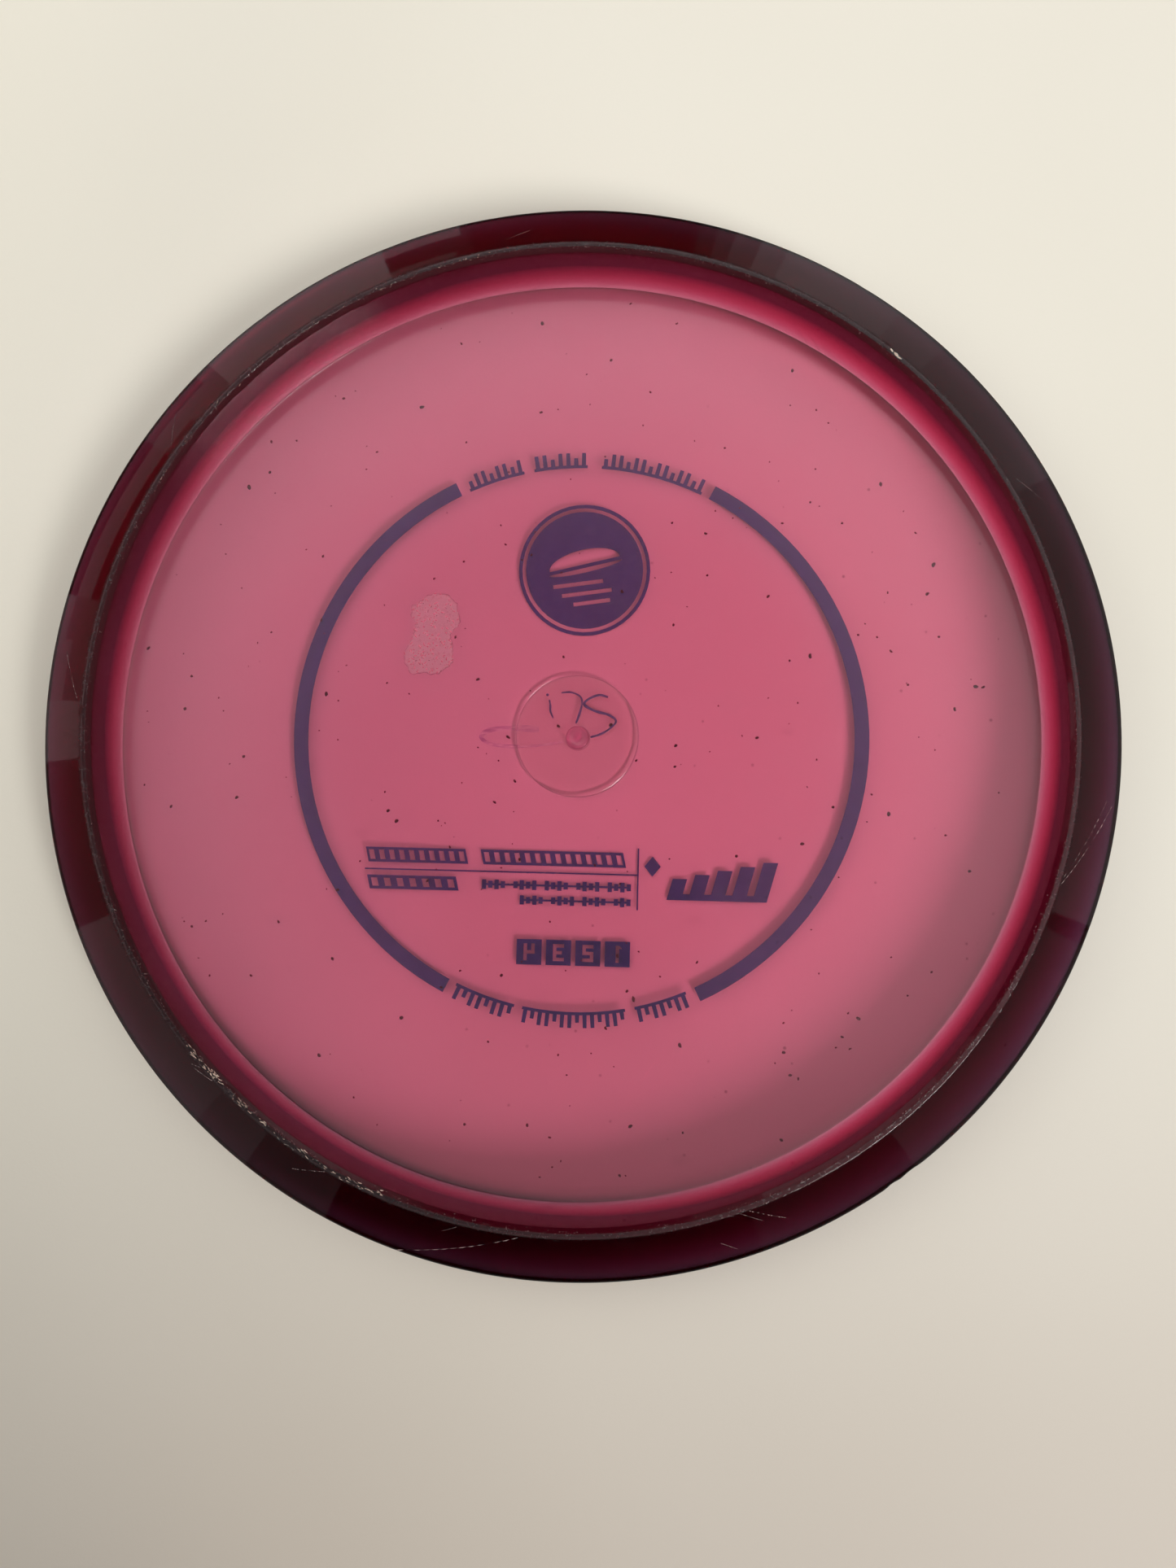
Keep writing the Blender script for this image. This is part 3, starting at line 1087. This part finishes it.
CAMERA_AT = Vector((10.51, -25.57, 247.5)) * MM
TILT_X, TILT_Y = math.radians(3.6246), math.radians(1.9198)


def ease(x):
    x = min(max(x, 0.0), 1.0)
    return x * x * (3 - 2 * x)


def ceiling_grey(r, azimuth, foot):
    """Dark in the middle, where whoever looks down at the disc stands in the light, a bright ring round that, brighter on the far side."""
    if foot:
        return 0.60 + 0.34 * math.cos(math.radians(azimuth - 25))
    ring = 0.25 + 1.15 * ease((r - 38) / 42) - 0.55 * ease((r - 80) / 14)
    return ring * (1 + 0.42 * ease((r - 30) / 30) * math.cos(math.radians(azimuth - 72)))


def make_ceiling():
    """A glowing sheet overhead, seen only in reflections, sized by the part of the room that the disc mirrors toward the camera."""
    level, turns = 0.6, 72
    rows = [(r, False) for r in (4.0, 12.0, 25.0, 35.0, 45.0, 52.0, 59.0, 66.0, 73.0, 80.0, 84.0, 88.0, 93.0)] + [(97.2, True), (150.0, True)]
    verts, greys, faces = [], [], []
    for r, foot in rows:
        for k in range(turns):
            az = 360 * k / turns
            a = math.radians(az)
            out = Vector((math.cos(a), math.sin(a), 0))
            if foot:
                p = out * min(r, 97.2) * MM
                slope = Vector((p.x - CAMERA_AT.x, p.y - CAMERA_AT.y, 0)) / (CAMERA_AT.z - HEIGHT)
                at = p + slope * (level - HEIGHT)
                at = at if r < 100 else at * 2.2
            else:
                p = out * r * MM
                slope = Vector((p.x - CAMERA_AT.x, p.y - CAMERA_AT.y, 0)) / (CAMERA_AT.z - 0.006)
                tilt = float(under_z((r + 0.5) * MM) - under_z((r - 0.5) * MM)) / MM
                at = p + (slope - out * 2 * tilt) * level
            verts.append((at.x, at.y, level))
            greys.append(ceiling_grey(r, az, foot))
    for i in range(len(rows) - 1):
        for k in range(turns):
            k2 = (k + 1) % turns
            faces.append((i * turns + k, i * turns + k2, (i + 1) * turns + k2, (i + 1) * turns + k))
    faces.append(tuple(range(turns))[::-1])
    glow_mesh("ceiling", verts, faces, greys, "POINT")


def make_camera():
    data = bpy.data.cameras.new("camera")
    data.sensor_fit = "HORIZONTAL"
    data.sensor_width = 36.0
    data.lens = 36.0 * 1450.0 / 1445.0
    data.clip_start = 0.005
    data.clip_end = 20.0
    ob = bpy.data.objects.new("camera", data)
    turn = Matrix.Rotation(TILT_X, 4, "X") @ Matrix.Rotation(TILT_Y, 4, "Y")
    ob.matrix_world = Matrix.Translation(CAMERA_AT) @ turn
    bpy.context.scene.collection.objects.link(ob)
    bpy.context.scene.camera = ob


make_floor()
make_world()
make_panels()
area_light("key", -48.0, 42.0, 6.0, 2.64, 222.0, (1.0, 0.99, 0.955))
area_light("left", 165.0, 36.0, 0.80, 0.5, 0.90, (1.0, 0.98, 0.90), mirrored=False)
# whoever holds the camera shades the scene from the near side, and the camera itself hides the light above the middle
cx, cy, cz = CAMERA_AT
card("camera_back", [(cx - 0.062, cy - 0.135, cz + 0.006), (cx + 0.014, cy - 0.135, cz + 0.006), (cx + 0.014, cy + 0.014, cz + 0.006), (cx - 0.062, cy + 0.014, cz + 0.006)], (0.02, 0.02, 0.022))
card("near_side", [(-0.50, -0.32, 0.02), (0.03, -0.34, 0.02), (0.03, -0.34, 0.95), (-0.50, -0.32, 0.95)], (0.03, 0.028, 0.035))
above = [(-0.03 + 0.31 * math.cos(a), -0.36 + 0.26 * math.sin(a), 0.62) for a in np.linspace(0, 2 * math.pi, 33)[:-1]]
card("above", above, (0.05, 0.045, 0.045), glow=0.10)
card("arm", [(-0.15, -0.14, 0.262), (0.09, -0.14, 0.262), (0.15, -0.44, 0.36), (-0.22, -0.44, 0.36)], (0.05, 0.045, 0.045))
make_ceiling()
make_camera()
bpy.context.scene.view_settings.view_transform = "Standard"
bpy.context.scene.cycles.blur_glossy = 0.0  # the light under the plate arrives through smooth plastic
bpy.context.scene.view_settings.look = "None"
